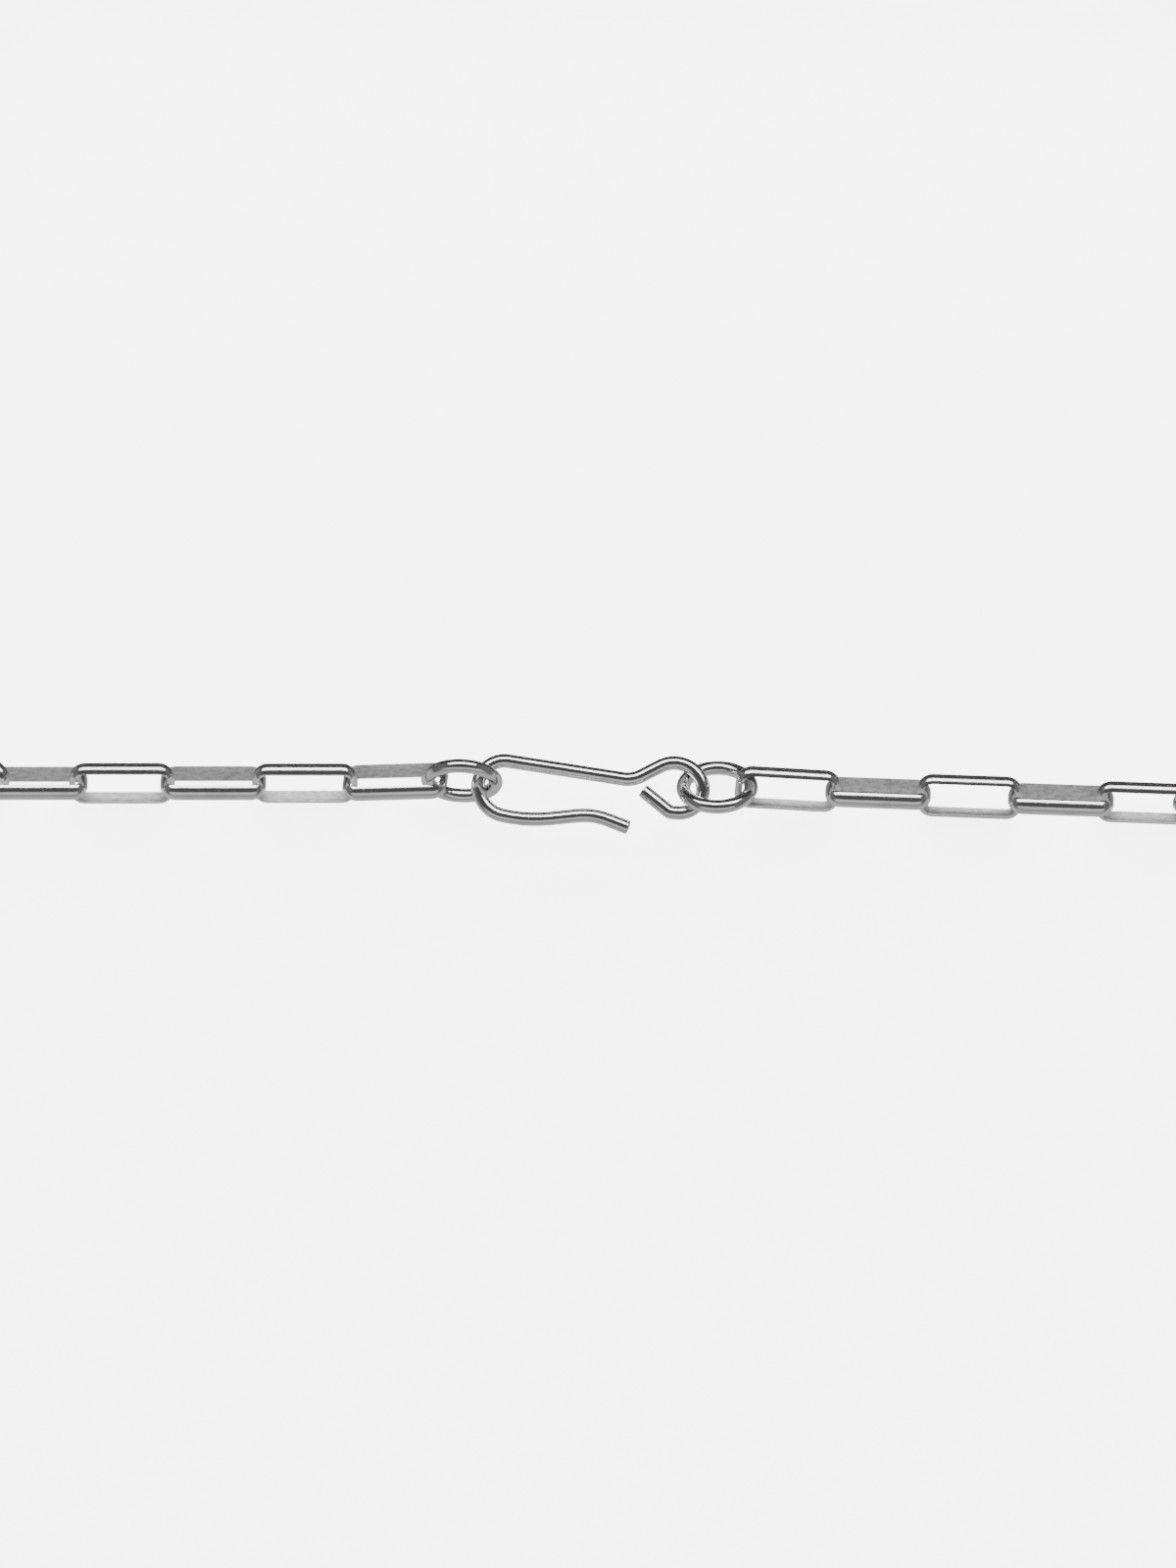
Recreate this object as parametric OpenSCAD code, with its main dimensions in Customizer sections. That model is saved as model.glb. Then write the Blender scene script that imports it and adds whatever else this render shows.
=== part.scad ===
// A bent-wire hook clasp closed between two jump rings, on a chain of
// long half-round links that lies on a flat surface as one closed loop.

/* [Hook] */
// Thickness of the hook's round wire
hook_wire = 1.28; // [1.2:0.02:1.3]
// Height of the hook's centre plane above the surface
hook_height = 2.81; // [2.8:0.01:2.84]

/* [Jump rings] */
// Outer diameter of both jump rings
ring_od = 7.5; // [7.45:0.05:7.55]
// Thickness of the rings' round wire
ring_wire = 1.28; // [1.2:0.02:1.3]
// Lean of the left ring, its far side high
left_ring_lean = 76; // [75:0.5:77]
// Lean of the right ring, its near side high
right_ring_lean = 43; // [42.5:0.5:43.5]

/* [Links] */
// Length of the opening in a link
link_gap_len = 8.56; // [8.55:0.01:8.57]
// Width of the opening in a link
link_gap_w = 3; // [2.98:0.01:3.02]
// Width of the half-round strip
strip_w = 1.66; // [1.6:0.02:1.68]
// Thickness of the half-round strip at its crown
strip_t = 0.58; // [0.54:0.01:0.6]
// Inner radius of a link's corners
link_corner_r = 0.9; // [0.8:0.05:0.9]
// Lean of each link to its side, in turn left and right
link_lean = 45; // [44:0.5:46]

/* [Chain] */
// Play between two links that lie in line
link_play = 0.16; // [0.15:0.01:0.17]
// Links on each straight stretch beside the clasp
front_links = 5; // [5:1:6]
// Links on each side of the loop
side_links = 8; // [8:1:9]
// Links across the back of the loop
back_links = 12; // [12:2:12]
// Downhill slope of the right front stretch, in the plane of the surface
right_slope = 2.1; // [0:0.1:3]

/* [Hidden] */
$fn = 64;

// Radius of the half-round strip's crown, one arc over the flat
strip_dome_r = (pow(strip_w / 2, 2) + pow(strip_t, 2)) / (2 * strip_t);
// Distance between the hinges of a straight link
straight_pitch = link_gap_len - link_play;

// Radius of the circle that the middle of a ring's wire follows
ring_r = (ring_od - ring_wire) / 2;
// Centre of each ring, and its turn about the vertical
left_ring_at = [-11.57, -0.17];
left_ring_turn = -2.5;
right_ring_at = [11.86, -0.6];
right_ring_turn = 1;

// Where the chain's first hinges lie, beside the rings
left_hinge = [-13.6, 0];
right_hinge = [14.24, -0.5];
// Leans of the first links beside each ring, as they happen to lie
LEFT_LEANS = [37, 50, 43, 46, 45];
RIGHT_LEANS = [40, 52, 37, 50, 44];
// Height by which the link beside each ring is lifted at the ring
left_lift = 1.1;
right_lift = 0.9;
// How much closer the hinges of a lifted link lie, because it slopes
lifted_play = 0.2;

// Small differences in lean along the rest of the chain, and the step of
// the wave that they follow from link to link
lean_sway = 1.5;
sway_step = 137;

// Corners of the loop: each turns in equal steps, one at each hinge
front_steps = 2;
back_steps = 3;
// Distance between the hinges of the links inside a corner
front_corner_pitch = 7.2;
back_corner_pitch = 7.6;
// Distance between the hinges of the straight links that meet a corner
front_end_pitch = 7.6;
end_pitch = 7.9;

// Where the hook's wire starts, at the tail's cut end, and its heading there
HOOK_START = [3.72, -4.4];
HOOK_HEADING = 158;
// Bends of the hook's wire from the tail's cut end to the loop's cut end:
// column 1 is the radius of the bend, or 0 for a straight stretch,
// column 2 is the turn in degrees, left positive, or the straight's length
HOOK_BENDS = [
    [0, 2.0],
    [6.0, 28],
    [0, 2.4],
    [13.5, -19],
    [2.9, -66],
    [2.4, -110],
    [0, 10.65],
    [2.7, 36.5],
    [0, 2.0],
    [2.7, -93.5],
    [2.2, -154],
    [0, 2.5],
];

// Sides of the hook's wire, and the turn between two of its stations
wire_sides = 20;
bend_step = 7;

// Point one step on from a place with a heading
function step_on(place, heading, distance) =
    place + distance * [cos(heading), sin(heading)];

// Place after a bend of the hook
function after_bend(place, heading, bend) =
    bend[0] == 0
        ? step_on(place, heading, bend[1])
        : let (side = bend[1] < 0 ? -1 : 1,
               centre = step_on(place, heading + 90 * side, bend[0]))
          step_on(centre, heading - 90 * side + bend[1], bend[0]);

// Heading after a bend of the hook
function turned(heading, bend) = bend[0] == 0 ? heading : heading + bend[1];

// Hinge points of a run: one more for each heading and pitch
function run(place, headings, pitches, i = 0) =
    i == len(headings)
        ? [place]
        : concat([place],
                 run(step_on(place, headings[i], pitches[i]),
                     headings, pitches, i + 1));

// Headings of half a loop: front, front corner, side, back corner
function half_headings(start, turn) = concat(
    [for (i = [1 : front_links]) start],
    [for (i = [1 : front_steps - 1]) start + turn * 90 / front_steps * i],
    [for (i = [1 : side_links]) 90],
    [for (i = [1 : back_steps - 1]) 90 + turn * 90 / back_steps * i]);

// Pitches of half a loop, shorter where the chain turns
half_pitches = concat(
    [straight_pitch - lifted_play],
    [for (i = [2 : front_links - 1]) straight_pitch],
    [front_end_pitch],
    [for (i = [1 : front_steps - 1]) front_corner_pitch],
    [front_end_pitch],
    [for (i = [1 : side_links - 2]) straight_pitch],
    [end_pitch],
    [for (i = [1 : back_steps - 1]) back_corner_pitch]);

left_half = run(left_hinge, half_headings(180, -1), half_pitches);
right_half = run(right_hinge, half_headings(-right_slope, 1), half_pitches);
back_left = left_half[len(left_half) - 1];
back_right = right_half[len(right_half) - 1];
back_length = norm(back_right - back_left);
back_pitch = (back_length - 2 * end_pitch) / (back_links - 2);
back_run = [for (i = [0 : back_links - 2])
    back_left + (back_right - back_left)
        * (end_pitch + i * back_pitch) / back_length];
right_reversed = [for (i = [len(right_half) - 1 : -1 : 0]) right_half[i]];
hinges = concat(left_half, back_run, right_reversed);
link_count = len(hinges) - 1;

// Name of a link by its place in the chain, from the left ring round
function link_name(i) = str("link_", i < 9 ? "0" : "", i + 1);

// Middle of the loop, which becomes the origin
loop_centre = [0.4, 39.04];

// How far a link leans: as listed beside the rings, then with a small sway
function lean_of(i) =
    i < len(LEFT_LEANS) ? LEFT_LEANS[i]
    : link_count - 1 - i < len(RIGHT_LEANS) ? RIGHT_LEANS[link_count - 1 - i]
    : link_lean + lean_sway * sin(i * sway_step);

// Height of a link's centre when it leans on the surface
function resting_height(lean) =
    (link_gap_w / 2 + strip_t - strip_dome_r) * sin(lean) + strip_dome_r;

// Height of a link's centre: its neighbours hold it up if they rest higher
function height_of(i) =
    max([for (k = [max(i - 1, 0) : min(i + 1, link_count - 1)])
        resting_height(lean_of(k))]);

// Section of the strip: flat at x = 0, crown at x = strip_t
module strip_section() {
    intersection() {
        translate([strip_t - strip_dome_r, 0])
            circle(r = strip_dome_r);
        translate([0, -strip_w / 2])
            square([strip_t + 1, strip_w]);
    }
}

// One straight side of a link, centred, at a distance from the middle
module link_side(length, distance) {
    rotate([90, 0, 0])
        translate([distance, 0, -length / 2])
            linear_extrude(length)
                strip_section();
}

// One long link in its own plane, along x
module link() {
    long_side = link_gap_len - 2 * link_corner_r;
    short_side = link_gap_w - 2 * link_corner_r;
    for (turn = [0, 180])
        rotate(turn) {
            link_side(short_side, link_gap_len / 2);
            rotate(90)
                link_side(long_side, link_gap_w / 2);
        }
    for (quarter = [[1, 1, 0], [-1, 1, 90], [-1, -1, 180], [1, -1, 270]])
        translate([quarter[0] * long_side / 2,
                   quarter[1] * short_side / 2, 0])
            rotate(quarter[2])
                rotate_extrude(angle = 90)
                    translate([link_corner_r, 0])
                        strip_section();
}

// One link of the chain, laid between its two hinge points
module chain_link(i) {
    a = hinges[i];
    b = hinges[i + 1];
    heading = atan2(b[1] - a[1], b[0] - a[0]);
    lift = i == 0 ? left_lift : i == link_count - 1 ? -right_lift : 0;
    lean = (i % 2 == 0 ? 1 : -1) * lean_of(i);
    height = height_of(i) + abs(lift) / 2;
    color("silver")
        translate([(a[0] + b[0]) / 2, (a[1] + b[1]) / 2, height])
            rotate([0, atan2(lift, link_gap_len), heading])
                rotate([lean, 0, 0])
                    link();
}

// A jump ring that leans on the surface
module jump_ring(place, turn, lean) {
    height = ring_wire / 2 + ring_r * sin(abs(lean));
    color("gainsboro")
        translate([place[0], place[1], height])
            rotate([lean, 0, turn])
                rotate_extrude()
                    translate([ring_r, 0])
                        circle(d = ring_wire);
}

module left_ring() {
    jump_ring(left_ring_at, left_ring_turn, left_ring_lean);
}

module right_ring() {
    jump_ring(right_ring_at, right_ring_turn, -right_ring_lean);
}

// Stations along the hook's wire, each a place and a heading:
// one for a straight stretch, and one for every few degrees of a bend
function wire_stations(place, heading, i = 0) =
    i == len(HOOK_BENDS)
        ? [[place, heading]]
        : let (bend = HOOK_BENDS[i],
               steps = bend[0] == 0 ? 1 : ceil(abs(bend[1]) / bend_step))
          concat([for (k = [0 : steps - 1])
                      let (part = [bend[0], bend[1] * k / steps])
                      [after_bend(place, heading, part),
                       turned(heading, part)]],
                 wire_stations(after_bend(place, heading, bend),
                               turned(heading, bend), i + 1));

// Points of the round wire's outline at one station
function wire_ring(station) = [
    for (k = [0 : wire_sides - 1])
        let (turn = 360 * k / wire_sides,
             sideways = hook_wire / 2 * cos(turn))
        [station[0][0] - sideways * sin(station[1]),
         station[0][1] + sideways * cos(station[1]),
         hook_wire / 2 * sin(turn)]];

// The hook is one piece of wire: tail, mouth, long arm and closed loop
module hook() {
    stations = wire_stations(HOOK_START, HOOK_HEADING);
    last = len(stations) - 1;
    skin = [for (i = [0 : last - 1], k = [0 : wire_sides - 1])
        let (next = (k + 1) % wire_sides)
        [i * wire_sides + k, (i + 1) * wire_sides + k,
         (i + 1) * wire_sides + next, i * wire_sides + next]];
    first_cut = [for (k = [0 : wire_sides - 1]) k];
    last_cut = [for (k = [wire_sides - 1 : -1 : 0]) last * wire_sides + k];
    color("whitesmoke")
        translate([0, 0, hook_height])
            polyhedron(points = [for (s = stations) each wire_ring(s)],
                       faces = concat(skin, [first_cut, last_cut]));
}

translate(-loop_centre) hook();
translate(-loop_centre) left_ring();
translate(-loop_centre) right_ring();
for (i = [0 : link_count - 1])
    translate(-loop_centre) chain_link(i);
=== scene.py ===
# %% [markdown]
# # A hook clasp on a chain of long links
#
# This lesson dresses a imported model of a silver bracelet. Its clasp is a hook of bent round wire between
# two jump rings, and its chain is 44 long links of half-round strip that lie on a table as one loop.
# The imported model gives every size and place. We rebuild each piece with softer edges and a real
# silver finish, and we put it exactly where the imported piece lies.

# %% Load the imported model
import math

import bpy
import numpy as np
from mathutils import Matrix, Vector


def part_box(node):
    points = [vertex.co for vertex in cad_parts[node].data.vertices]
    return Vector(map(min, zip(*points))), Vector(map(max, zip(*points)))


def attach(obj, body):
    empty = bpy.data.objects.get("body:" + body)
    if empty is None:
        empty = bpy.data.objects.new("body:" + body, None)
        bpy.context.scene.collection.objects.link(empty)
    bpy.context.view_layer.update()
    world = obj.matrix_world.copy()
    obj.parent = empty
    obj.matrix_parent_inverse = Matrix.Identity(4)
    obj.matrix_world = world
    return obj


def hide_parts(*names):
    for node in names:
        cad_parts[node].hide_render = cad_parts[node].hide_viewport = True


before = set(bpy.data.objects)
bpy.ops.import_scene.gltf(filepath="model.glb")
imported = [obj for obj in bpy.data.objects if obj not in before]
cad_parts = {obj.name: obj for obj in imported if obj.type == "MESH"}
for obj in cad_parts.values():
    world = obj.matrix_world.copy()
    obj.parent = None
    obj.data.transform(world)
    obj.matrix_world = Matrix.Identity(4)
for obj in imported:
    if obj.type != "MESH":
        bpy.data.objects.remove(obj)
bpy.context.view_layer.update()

MM = 0.001
link_names = sorted(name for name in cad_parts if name.startswith("link_"))
print("pieces to dress:", len(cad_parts), "of which links:", len(link_names))

# %% [markdown]
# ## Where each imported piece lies
#
# A ring or a link is symmetric, so its place is known from its middle and its three axes. Both follow
# from how its surface is spread out: a link reaches furthest along its length, then across its width,
# and least through its strip. We add up the spread of all its triangles, so it doesn't matter how
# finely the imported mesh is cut, and ask numpy for the three axes.

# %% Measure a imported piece
def own_place(name):
    """Matrix that takes a piece drawn at the origin, longest along X and thinnest along Z, to its node."""
    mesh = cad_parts[name].data
    mesh.calc_loop_triangles()
    points = np.array([v.co for v in mesh.vertices])
    corners = points[np.array([t.vertices for t in mesh.loop_triangles])]
    area = np.array([t.area for t in mesh.loop_triangles])
    middle = (corners.mean(1) * area[:, None]).sum(0) / area.sum()
    corners = corners - middle
    total = corners.sum(1)
    spread = np.einsum("t,tki,tkj->ij", area, corners, corners)
    spread += np.einsum("t,ti,tj->ij", area, total, total)
    axes = np.linalg.eigh(spread)[1][:, ::-1]
    axes[:, 2] = np.cross(axes[:, 0], axes[:, 1])
    return Matrix.Translation(Vector(middle)) @ Matrix(axes.tolist()).to_4x4()


def own_size(name):
    """Length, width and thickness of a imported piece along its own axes."""
    place = own_place(name).inverted()
    points = np.array([place @ v.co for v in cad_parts[name].data.vertices])
    return points.max(0) - points.min(0)


print("first link in mm:", (own_size("link_01") / MM).round(3))
print("left ring in mm:", (own_size("left_ring") / MM).round(3))

# %% [markdown]
# ## Working in edit mode from a script
#
# The operators act on whatever is selected, as they do by hand. These helpers clear the selection,
# go into edit mode on one piece, and pick its faces by a rule. Points closer than TOUCHING, a thousandth of
# a millimetre, count as one.

# %% Selecting and editing
TOUCHING = 1e-6
BEVEL_STEPS = 4
SMOOTH_BELOW = 35


def alone(piece):
    """Select one piece and nothing else."""
    bpy.ops.object.select_all(action="DESELECT")
    piece.select_set(True)
    bpy.context.view_layer.objects.active = piece


def edit(piece, kind="VERT"):
    """Edit mode on one piece, picking its points, or its faces with FACE."""
    alone(piece)
    bpy.ops.object.mode_set(mode="EDIT")
    bpy.ops.mesh.select_mode(type=kind)


def done():
    """Back to object mode."""
    bpy.ops.object.mode_set(mode="OBJECT")


def pick_faces(piece, rule):
    """Select the faces whose middle and normal fit the rule. Returns how many there are."""
    edit(piece, "FACE")
    bpy.ops.mesh.select_all(action="DESELECT")
    done()
    chosen = [f for f in piece.data.polygons if rule(f.center, f.normal)]
    for face in chosen:
        face.select = True
    edit(piece, "FACE")
    return len(chosen)


def put(piece, place):
    """Move a piece by a matrix and keep its object at the origin, with the place in its mesh."""
    alone(piece)
    piece.matrix_world = place
    bpy.ops.object.transform_apply(location=True, rotation=True, scale=True)


def open_edges(piece):
    """How many edges don't join exactly two faces: 0 on a closed piece."""
    uses = {}
    for face in piece.data.polygons:
        for key in face.edge_keys:
            uses[key] = uses.get(key, 0) + 1
    return sum(count != 2 for count in uses.values())

# %% [markdown]
# ## Bending a wire
#
# On the bench the hook is one length of round wire, bent over pliers. We bend ours the same way. It
# starts as a filled circle at the cut end. Extrude draws a straight stretch, and spin draws a bend
# round the jaw of the pliers. A curve object with a round bevel would be quicker, but spinning
# keeps every bend an exact arc, and the cut ends stay real faces that we can bevel.

# %% Follow a list of bends
WIRE_SIDES = 40
BEND_STEP = 4.0


def bend_wire(name, wire, start, heading, bends):
    """Wire in the XY plane. Each bend is (radius, turn in degrees) or (0, length), in metres."""
    bpy.ops.object.select_all(action="DESELECT")
    bpy.ops.mesh.primitive_circle_add(
        vertices=WIRE_SIDES, radius=wire / 2, fill_type="NGON", location=(*start, 0),
        rotation=(math.pi / 2, 0, math.radians(heading + 90)))
    piece = bpy.context.object
    piece.name = piece.data.name = name
    bpy.ops.object.transform_apply(location=True, rotation=True, scale=True)
    place = Vector((*start, 0))
    edit(piece)
    bpy.ops.mesh.select_all(action="SELECT")
    for radius, amount in bends:
        if radius == 0:
            step = heading_vector(heading) * amount
            bpy.ops.mesh.extrude_region_move(TRANSFORM_OT_translate={"value": step})
            place += step
            continue
        side = math.copysign(1, amount)
        pivot = place + heading_vector(heading + 90 * side) * radius
        bpy.ops.mesh.spin(steps=math.ceil(abs(amount) / BEND_STEP), angle=-math.radians(amount),
                          center=pivot, axis=(0, 0, 1))
        place = pivot + heading_vector(heading - 90 * side + amount) * radius
        heading += amount
    bpy.ops.mesh.select_all(action="SELECT")
    bpy.ops.mesh.remove_doubles(threshold=TOUCHING)
    bpy.ops.mesh.normals_make_consistent(inside=False)
    done()
    return piece


def heading_vector(degrees):
    """Direction in the XY plane at an angle from +X."""
    turn = math.radians(degrees)
    return Vector((math.cos(turn), math.sin(turn), 0))


def file_ends(piece, round_off):
    """Bevel the rims of the two cut ends, as a file does. The ends are the faces with the most corners."""
    edit(piece, "FACE")
    bpy.ops.mesh.select_all(action="DESELECT")
    done()
    for face in piece.data.polygons:
        face.select = len(face.vertices) == WIRE_SIDES
    edit(piece, "FACE")
    bpy.ops.mesh.region_to_loop()
    bpy.ops.mesh.bevel(offset=round_off, segments=BEVEL_STEPS, affect="EDGES")
    done()


def smooth(piece):
    """Shade smooth across every edge that turns by less than SMOOTH_BELOW degrees."""
    alone(piece)
    bpy.ops.object.shade_smooth_by_angle(angle=math.radians(SMOOTH_BELOW))

# %% [markdown]
# ## The hook
#
# From the tail's cut end the wire runs up into a wide hooked bend, along the straight arm, and round into
# a small closed loop. The pliers left a slight kink where the loop's short end turns up towards the arm.
# We list the bends in order, each a radius in millimetres with a turn in degrees, or 0 with a straight
# length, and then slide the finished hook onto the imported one, box to box.

# %% Bend the hook
HOOK_HEADING = 158
TAIL = [(0, 2.0), (6.0, 28), (0, 2.4), (13.5, -19)]
HOOKED_BEND = [(2.9, -66), (2.4, -110)]
ARM = [(0, 10.65), (2.7, 36.5), (0, 2.0)]
CLOSED_LOOP = [(2.7, -93.5), (2.2, -119), (0, 0.47)]
KINKED_END = [(0.7, -35), (0, 2.97)]
HOOK_BENDS = TAIL + HOOKED_BEND + ARM + CLOSED_LOOP + KINKED_END
FILED_EDGE = 0.12 * MM

hook_low, hook_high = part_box("hook")
hook_wire = hook_high.z - hook_low.z
hook = bend_wire("silver_hook", hook_wire, (0, 0), HOOK_HEADING,
                 [(radius * MM, amount if radius else amount * MM) for radius, amount in HOOK_BENDS])
file_ends(hook, FILED_EDGE)
points = np.array([v.co for v in hook.data.vertices])
bent_middle = Vector((points.max(0) + points.min(0)) / 2)
put(hook, Matrix.Translation((hook_low + hook_high) / 2 - bent_middle))
smooth(hook)
print("hook: wire", round(hook_wire / MM, 3), "mm, size", ((points.max(0) - points.min(0)) / MM).round(2),
      "packed", [round(x / MM, 2) for x in hook_high - hook_low], "open edges", open_edges(hook))

# %% [markdown]
# ## The jump rings
#
# A jump ring is cut from a coil of wire, so its two ends meet in a fine join. A torus primitive would have
# none. We bend each ring as a wire through almost a full turn, round its cut ends a little, and turn it so
# that the join is at the end beside the hook. The ring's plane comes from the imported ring's thinnest axis.

# %% Bend the rings
JOIN_GAP = 0.03 * MM
JOIN_EDGE = 0.05 * MM
JOIN_TURNS = {"left_ring": -14, "right_ring": 186}


def ring_place(name):
    """Place of a ring, with its own X level and towards the world's +X, and its own Z upwards."""
    place = own_place(name)
    up = place.col[2].to_3d()
    up *= math.copysign(1, up.z)
    level = (Vector((1, 0, 0)) - up * up.x).normalized()
    turn = Matrix([level, up.cross(level), up]).transposed()
    return Matrix.Translation(place.translation) @ turn.to_4x4()


rings = {}
for name, join_turn in JOIN_TURNS.items():
    outer, _, wire = own_size(name)
    radius = (outer - wire) / 2
    half_gap = math.degrees(JOIN_GAP / radius) / 2
    begin = math.radians(join_turn + half_gap)
    ring = bend_wire("silver_" + name, wire, (radius * math.cos(begin), radius * math.sin(begin)),
                     join_turn + half_gap + 90, [(radius, 360 - 2 * half_gap)])
    file_ends(ring, JOIN_EDGE)
    put(ring, ring_place(name))
    smooth(ring)
    rings[name] = ring
    print(name, "outer", round(outer / MM, 3), "mm, wire", round(wire / MM, 3),
          "mm, open edges", open_edges(ring))

# %% [markdown]
# ## One link
#
# The links are bent from half-round strip: flat inside, crowned outside. We draw the strip's section as
# a circle, slice off its inner part to leave the flat, and round the two thin edges, which would be sharp
# otherwise. The section is then led round the link: extrude for a side, spin for a corner. The last
# corner ends where the first side began, and merging by distance closes the strip, as solder does.

# %% Draw the strip's section
STRIP_THICK = 0.58 * MM
INNER_CORNER = 0.9 * MM
STRIP_EDGE = 0.13 * MM
SECTION_SIDES = 44
CORNER_STEPS = 10

link_long, link_wide, strip_wide = own_size("link_01")
crown_radius = ((strip_wide / 2) ** 2 + STRIP_THICK ** 2) / (2 * STRIP_THICK)
half_long = link_long / 2 - STRIP_THICK
half_wide = link_wide / 2 - STRIP_THICK

bpy.ops.object.select_all(action="DESELECT")
bpy.ops.mesh.primitive_circle_add(
    vertices=SECTION_SIDES, radius=crown_radius, fill_type="NGON", rotation=(0, math.pi / 2, 0),
    location=(INNER_CORNER - half_long, crown_radius - STRIP_THICK - half_wide, 0))
link = bpy.context.object
link.name = link.data.name = "link_pattern"
bpy.ops.object.transform_apply(location=True, rotation=True, scale=True)
edit(link)
bpy.ops.mesh.select_all(action="SELECT")
bpy.ops.mesh.bisect(plane_co=(0, -half_wide, 0), plane_no=(0, 1, 0), clear_outer=True,
                    threshold=TOUCHING)
bpy.ops.mesh.select_all(action="DESELECT")
done()
for point in link.data.vertices:
    point.select = bool(point.co.y > -half_wide - TOUCHING)
edit(link)
bpy.ops.mesh.bevel(offset=STRIP_EDGE, segments=BEVEL_STEPS, affect="VERTICES")
bpy.ops.mesh.select_all(action="SELECT")
bpy.ops.mesh.delete(type="ONLY_FACE")
done()
print("section:", len(link.data.vertices), "points, strip", round(strip_wide / MM, 3), "mm wide")

# %% Lead the section round the link
edit(link)
bpy.ops.mesh.select_all(action="SELECT")
side_lengths = (2 * (half_long - INNER_CORNER), 2 * (half_wide - INNER_CORNER))
for quarter in range(4):
    side = heading_vector(90 * quarter) * side_lengths[quarter % 2]
    bpy.ops.mesh.extrude_region_move(TRANSFORM_OT_translate={"value": side})
    across = math.copysign(half_long - INNER_CORNER, 1 if quarter in (0, 1) else -1)
    along = math.copysign(half_wide - INNER_CORNER, 1 if quarter in (1, 2) else -1)
    bpy.ops.mesh.spin(steps=CORNER_STEPS, angle=-math.pi / 2, center=(across, along, 0), axis=(0, 0, 1))
bpy.ops.mesh.select_all(action="SELECT")
bpy.ops.mesh.remove_doubles(threshold=TOUCHING)
bpy.ops.mesh.normals_make_consistent(inside=False)
done()
smooth(link)
print("link:", len(link.data.polygons), "faces, open edges", open_edges(link))

# %% [markdown]
# ## Words for the shader's sums
#
# A silver finish is a stack of small patterns. Writing each Math node by hand would take pages, so one
# small class wraps a socket: a sum or product of two sockets then adds the node for us. One method makes
# any other node from its type, its settings and the values of its sockets.

# %% A socket that can be added and multiplied
class Socket:
    """An output socket of a node, with the node tree that it belongs to."""

    def __init__(self, tree, socket):
        self.tree, self.socket = tree, socket

    def node(self, kind, values=(), output=0, **settings):
        """Add a node. The settings come first, then values by socket name or number."""
        made = self.tree.nodes.new(kind)
        for key, value in settings.items():
            if key == "stops":
                ramp = made.color_ramp.elements
                while len(ramp) < len(value):
                    ramp.new(1.0)
                for stop, (position, shade) in zip(ramp, value):
                    stop.position, stop.color = position, (shade, shade, shade, 1)
            else:
                setattr(made, key, value)
        for key, value in dict(values).items():
            if isinstance(value, Socket):
                self.tree.links.new(value.socket, made.inputs[key])
            else:
                made.inputs[key].default_value = value
        return Socket(self.tree, made.outputs[output])

    def maths(self, operation, *values):
        """Add a Math node on these values."""
        return self.node("ShaderNodeMath", dict(enumerate(values)), operation=operation)

    def __add__(self, other):
        return self.maths("ADD", self, other)

    def __sub__(self, other):
        return self.maths("SUBTRACT", self, other)

    def __rsub__(self, other):
        return self.maths("SUBTRACT", other, self)

    def __mul__(self, other):
        return self.maths("MULTIPLY", self, other)

    __radd__, __rmul__ = __add__, __mul__

    def between(self, low, high):
        """0 below low and 1 above high, with a soft rise between them."""
        return self.node("ShaderNodeMapRange", {0: self, 1: low, 2: high},
                         interpolation_type="SMOOTHSTEP")

    def noise(self, size, detail=2.0, stretch=(1, 1, 1)):
        """Cloudy noise from 0 to 1 with spots of about that size in metres, on this position."""
        place = self.node("ShaderNodeVectorMath", {0: self, 1: stretch}, operation="MULTIPLY")
        return self.node("ShaderNodeTexNoise", {"Vector": place, "Scale": 1 / size, "Detail": detail})

    def mix(self, low, high):
        """A colour between two others, by this value. Both are colour sockets, or greys."""
        colours = [c if isinstance(c, Socket) else (c, c, c, 1) for c in (low, high)]
        return self.node("ShaderNodeMix", {"Factor": self, 6: colours[0], 7: colours[1]},
                         output=2, data_type="RGBA")


def new_material(name):
    """An empty material, with a Socket to start its nodes from and its surface shader."""
    material = bpy.data.materials.new(name)
    material.use_nodes = True
    shader = material.node_tree.nodes["Principled BSDF"]
    return material, Socket(material.node_tree, shader.outputs[0]), shader


def feed(start, shader, **inputs):
    """Give the shader's inputs a value or a link, with _ for the space in a name."""
    for name, value in inputs.items():
        name = name.replace("_", " ")
        if isinstance(value, Socket):
            start.tree.links.new(value.socket, shader.inputs[name])
        else:
            shader.inputs[name].default_value = value

# %% [markdown]
# ## Polished silver
#
# Polished silver is a mirror that people have handled. Its reflections have slightly ragged edges, because
# polishing leaves low waves and fine marks. Here and there is a tiny pit, and a faint cloud of tarnish
# dulls it. A single metal colour would look like chrome plating fresh from the tank, so we add all four.
# The patterns read Object coordinates, which are real metres here, so each size is a real size, and heights
# are in thousandths of a millimetre. The number beside a pattern in a sum is its weight. The wires are buffed
# by hand. The chain is polished in a tumbler, so its reflections are a little softer.

# %% Mix the polished silver
MICRON = 0.001 * MM
WAVE, WAVE_HEIGHT = 0.45 * MM, 8.0
MARK, MARK_HEIGHT = 0.11 * MM, 1.5
PIT, PIT_DEPTH = 0.16 * MM, 2.0
CLOUD = 2.5 * MM
CLEAN, TARNISHED = 0.88, 0.66
BUFFED, TUMBLED = 0.03, 0.12


def bumps(start, height):
    """Normals of a surface with these heights in thousandths of a millimetre."""
    return start.node("ShaderNodeBump", {"Strength": 1.0, "Distance": MICRON, "Height": height})


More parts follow.
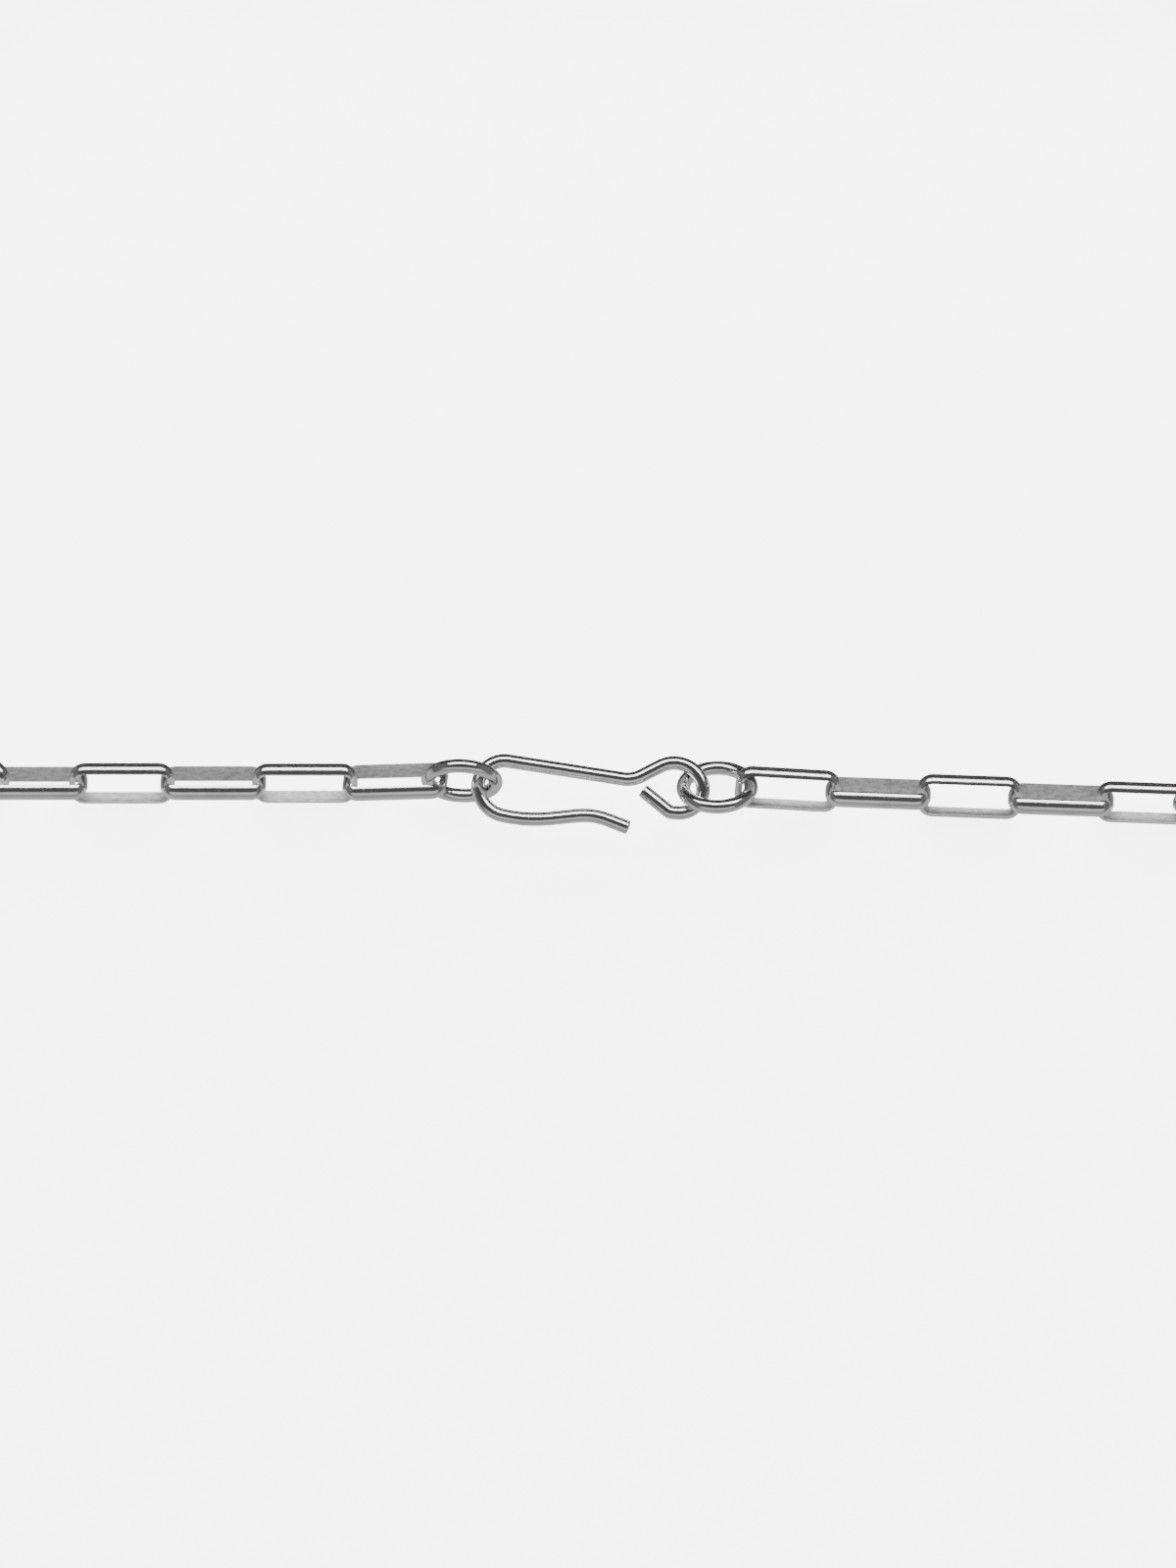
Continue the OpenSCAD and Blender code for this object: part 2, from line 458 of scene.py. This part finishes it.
def polished_silver(name, dullness):
    """A mirror of silver with that roughness, low waves, fine marks, pits and thin tarnish."""
    material, start, shader = new_material(name)
    place = start.node("ShaderNodeTexCoord", output="Object")
    clouds = place.noise(CLOUD, 3.0).between(0.42, 0.68)
    marks = place.noise(MARK, 2.0)
    pits = place.noise(PIT, 1.0).between(0.70, 0.78)
    shade = (clouds * 0.5 + pits * 0.6).mix(CLEAN, TARNISHED)
    rough = clouds * 0.05 + marks * 0.04 + pits * 0.2 + dullness
    height = place.noise(WAVE, 2.0) * WAVE_HEIGHT + marks * MARK_HEIGHT - pits * PIT_DEPTH
    feed(start, shader, Base_Color=shade, Roughness=rough, Normal=bumps(start, height), Metallic=1.0)
    return material


buffed = polished_silver("buffed_silver", BUFFED)
tumbled = polished_silver("tumbled_silver", TUMBLED)
print("finish:", buffed.name, "with", len(buffed.node_tree.nodes), "nodes, and", tumbled.name)

# %% [markdown]
# ## Satin silver
#
# The flat side of the strip lies inside each link, where a polishing wheel can't reach. It keeps the pale,
# blotchy satin of the pickled metal, with faint lines along the strip where it went through the rolls. The
# lines follow the link itself, whichever way it lies, so this finish reads the place of each point as it
# was drawn on the pattern link, which we keep with the mesh as an attribute. The cut ends of the
# hook and rings are just as dull, and have no such place, so their lines simply don't show.

# %% Mix the satin silver
ROLL_LINE, LINE_HEIGHT, LINE_STRETCH = 0.05 * MM, 2.0, (0.03, 0.03, 1)
GRAIN, GRAIN_HEIGHT = 0.04 * MM, 1.5
BLOTCH, BLOTCH_STRETCH = 0.3 * MM, (0.5, 1, 1)
PICKLED, STAINED = 1.0, 0.52
SATIN_ROUGH = 0.30
SATIN_METAL = 0.7


def satin_silver():
    """Dull silver with grain, blotches and lines from the rolls."""
    material, start, shader = new_material("satin_silver")
    place = start.node("ShaderNodeTexCoord", output="Object")
    drawn = start.node("ShaderNodeAttribute", output="Vector", attribute_name="drawn_place")
    lines = drawn.noise(ROLL_LINE, 1.0, LINE_STRETCH)
    grain = place.noise(GRAIN, 2.0)
    clouds = place.noise(CLOUD, 2.0).between(0.35, 0.7)
    blotches = place.noise(BLOTCH, 3.0, BLOTCH_STRETCH).between(0.35, 0.68)
    shade = (clouds * 0.2 + blotches * 0.6 + grain * 0.2).mix(PICKLED, STAINED)
    rough = clouds * 0.08 + blotches * 0.08 + grain * 0.10 + SATIN_ROUGH
    height = lines * LINE_HEIGHT + grain * GRAIN_HEIGHT
    feed(start, shader, Base_Color=shade, Roughness=rough, Normal=bumps(start, height),
         Metallic=SATIN_METAL)
    return material


satin = satin_silver()
print("finish:", satin.name, "with", len(satin.node_tree.nodes), "nodes")

# %% [markdown]
# ## Put the finishes on
#
# A mesh can hold several materials, one for each group of its faces. Everything is polished, apart from
# the cut ends of the wires and the flat faces inside the link.

# %% Assign them by face
SAME_PLACE = 1e-9
UPRIGHT = 0.1


def finish(piece, polish, rule):
    """Polished all over, and satin on the faces that fit the rule."""
    piece.data.materials.append(polish)
    piece.data.materials.append(satin)
    count = pick_faces(piece, rule)
    piece.active_material_index = 1
    bpy.ops.object.material_slot_assign()
    done()
    return count


def is_cut_end(piece):
    """Rule that picks the two cut ends of a wire."""
    ends = [f for f in piece.data.polygons if len(f.vertices) == WIRE_SIDES]
    return lambda centre, normal: any((centre - f.center).length < SAME_PLACE for f in ends)


def faces_inwards(centre, normal):
    """Rule that picks the flats of the pattern link, which stand upright and face its middle."""
    return abs(normal.z) < UPRIGHT and normal.x * centre.x + normal.y * centre.y < 0


for wire_piece in (hook, *rings.values()):
    print(wire_piece.name, "cut ends in satin:", finish(wire_piece, buffed, is_cut_end(wire_piece)))
print("link's flat faces in satin:", finish(link, tumbled, faces_inwards))

# %% [markdown]
# ## The whole chain
#
# One link is finished, so the other 43 are copies. Each copy gets a mesh of its own, because its place goes
# into its mesh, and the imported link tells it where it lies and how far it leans.

# %% Copy the link to its 44 places
drawn_place = link.data.attributes.new("drawn_place", "FLOAT_VECTOR", "POINT")
drawn_place.data.foreach_set("vector", np.array([v.co for v in link.data.vertices], np.float32).ravel())

chain = {}
for name in link_names:
    copy = link.copy()
    copy.data = link.data.copy()
    copy.name = copy.data.name = "silver_" + name
    bpy.context.scene.collection.objects.link(copy)
    put(copy, own_place(name))
    chain[name] = copy
bpy.data.objects.remove(link)
print("links laid:", len(chain))

# %% [markdown]
# ## Tie each piece to the model
#
# Every piece takes the place of one imported piece and rides on the model's only body.

# %% Ride and replace
for name, piece, slot in [("hook", hook, "hook_wire"),
                          *((name, ring, "ring_wire") for name, ring in rings.items()),
                          *((name, piece, "link_strip") for name, piece in chain.items())]:
    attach(piece, "root")
    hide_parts(name)
print("pieces tied:", 3 + len(chain))

# %% [markdown]
# ## The light table
#
# Shiny metal shows its surroundings more than itself. The photograph was taken from almost straight above,
# so every wire mirrors, from its far edge to its near one: the dark far side of the room, a bright
# softbox, the dark camera overhead, and the pale grey of the near side. We build just that: a softbox, and
# a room whose brightness depends on the direction. A second, lower lamp fills the satin flats, and the
# polished metal doesn't mirror it. Only the camera sees the white floor and the backdrop, so the metal
# keeps its grey reflections.

# %% Floor and backdrop
FLOOR_RADIUS = 5.0
FLOOR_SIDES = 96
FLOOR_GLOW = 5.5
BACKDROP_SIDES, BACKDROP_RINGS = 48, 24
BACKDROP_GLOW = 6.5
WHITE = (1, 1, 1, 1)
PALE_GREY = (0.4, 0.4, 0.4, 1)


def pale(name, glow):
    """A matt surface that glows white."""
    material, start, shader = new_material(name)
    feed(start, shader, Base_Color=PALE_GREY, Roughness=1.0, Emission_Color=WHITE,
         Emission_Strength=glow)
    return material


bpy.ops.object.select_all(action="DESELECT")
bpy.ops.mesh.primitive_circle_add(vertices=FLOOR_SIDES, radius=FLOOR_RADIUS, fill_type="NGON")
floor = bpy.context.object
floor.name = "pale_floor"
floor.data.materials.append(pale("pale_floor", FLOOR_GLOW))
bpy.ops.mesh.primitive_uv_sphere_add(segments=BACKDROP_SIDES, ring_count=BACKDROP_RINGS,
                                     radius=FLOOR_RADIUS)
backdrop = bpy.context.object
backdrop.name = "pale_backdrop"
backdrop.data.materials.append(pale("pale_backdrop", BACKDROP_GLOW))
floor.visible_glossy = floor.visible_diffuse = False
backdrop.visible_glossy = backdrop.visible_diffuse = backdrop.visible_shadow = False
print("floor radius in m:", FLOOR_RADIUS)

# %% Softbox and fill
# Leans are in degrees from straight up, towards the far side
CLASP = Vector((-0.40, -39.04, 1.45)) * MM
LAMP_AWAY = 0.9
SOFTBOX_LEAN = 39.0
SOFTBOX_SIZE = (1.30, 0.47)
SOFTBOX_GLOW = 5.0
FILL_LEAN = 68.0
FILL_SIZE = (1.30, 0.25)
FILL_GLOW = 44.0


def from_zenith(degrees):
    """Direction at an angle from straight up, towards the far side."""
    lean = math.radians(degrees)
    return Vector((0, math.sin(lean), math.cos(lean)))


def add_lamp(name, lean, size, glow):
    """Rectangular lamp at a lean from the clasp, turned to it, that glows alike at any size."""
    lamp = bpy.data.lights.new(name, "AREA")
    lamp.shape = "RECTANGLE"
    lamp.size, lamp.size_y = size
    lamp.energy = glow * math.pi * lamp.size * lamp.size_y
    holder = bpy.data.objects.new(name, lamp)
    bpy.context.scene.collection.objects.link(holder)
    holder.location = CLASP + from_zenith(lean) * LAMP_AWAY
    holder.rotation_euler = (-from_zenith(lean)).to_track_quat("-Z", "Y").to_euler()
    print(name, "power in W:", round(lamp.energy, 2))
    return holder


add_lamp("softbox", SOFTBOX_LEAN, SOFTBOX_SIZE, SOFTBOX_GLOW)
fill = add_lamp("fill", FILL_LEAN, FILL_SIZE, FILL_GLOW)
fill.visible_glossy = False

# %% Room
# Brightness of the room by the angle from straight up, near side negative, far side positive
NEAR_SIDE = [(-180, 0.6), (-120, 0.55), (-100, 0.5), (-88, 0.33), (-66, 0.38), (-50, 0.85),
             (-40, 0.6), (-32, 0.3)]
CAMERA_OVERHEAD = [(-27, 0.075), (17, 0.075)]
AROUND_SOFTBOX = [(20, 0.15), (56, 0.15)]
FAR_SIDE = [(60, 0.05), (118, 0.05), (135, 0.2), (180, 0.5)]
ROOM = NEAR_SIDE + CAMERA_OVERHEAD + AROUND_SOFTBOX + FAR_SIDE
SIDE_WALLS = 0.15
SIDES_FADE_IN = (0.60, 0.80)
TABLE_LEVEL = (-0.1, 0.1)

world = bpy.data.worlds.new("room")
world.use_nodes = True
bpy.context.scene.world = world
background = world.node_tree.nodes["Background"]
room = Socket(world.node_tree, background.outputs[0])
towards = room.node("ShaderNodeTexCoord", output="Generated")
split = towards.node("ShaderNodeSeparateXYZ", {0: towards})
across, away, up = (Socket(room.tree, output) for output in split.socket.node.outputs)
turn = away.maths("ARCTAN2", away, up) * (0.5 / math.pi) + 0.5
walls = turn.node("ShaderNodeValToRGB", {0: turn}, stops=[(lean / 360 + 0.5, shade) for lean, shade in ROOM])
beside = across.maths("ABSOLUTE", across).between(*SIDES_FADE_IN) * up.between(*TABLE_LEVEL)
shade = beside.mix(walls, SIDE_WALLS)
world.node_tree.links.new(shade.socket, background.inputs["Color"])
print("room:", len(ROOM), "steps of brightness")

# %% [markdown]
# ## The camera
#
# The photograph looks down at 78 degrees. A long lens from over two metres away keeps the chain's two halves
# alike, and its frame takes in 144 mm of the table, with the clasp in the middle.

# %% Place the camera
CAMERA_ELEVATION = 78.0
CAMERA_AWAY = 2.4
FRAME_TALL = 0.144
SENSOR = 36.0

camera_data = bpy.data.cameras.new("camera")
camera_data.sensor_width = SENSOR
camera_data.lens = SENSOR * CAMERA_AWAY / FRAME_TALL
camera = bpy.data.objects.new("camera", camera_data)
bpy.context.scene.collection.objects.link(camera)
tilt = math.radians(CAMERA_ELEVATION)
camera.location = CLASP + Vector((0, -math.cos(tilt), math.sin(tilt))) * CAMERA_AWAY
camera.rotation_euler = (CLASP - camera.location).to_track_quat("-Z", "Y").to_euler()
bpy.context.scene.camera = camera
print("lens in mm:", camera_data.lens)
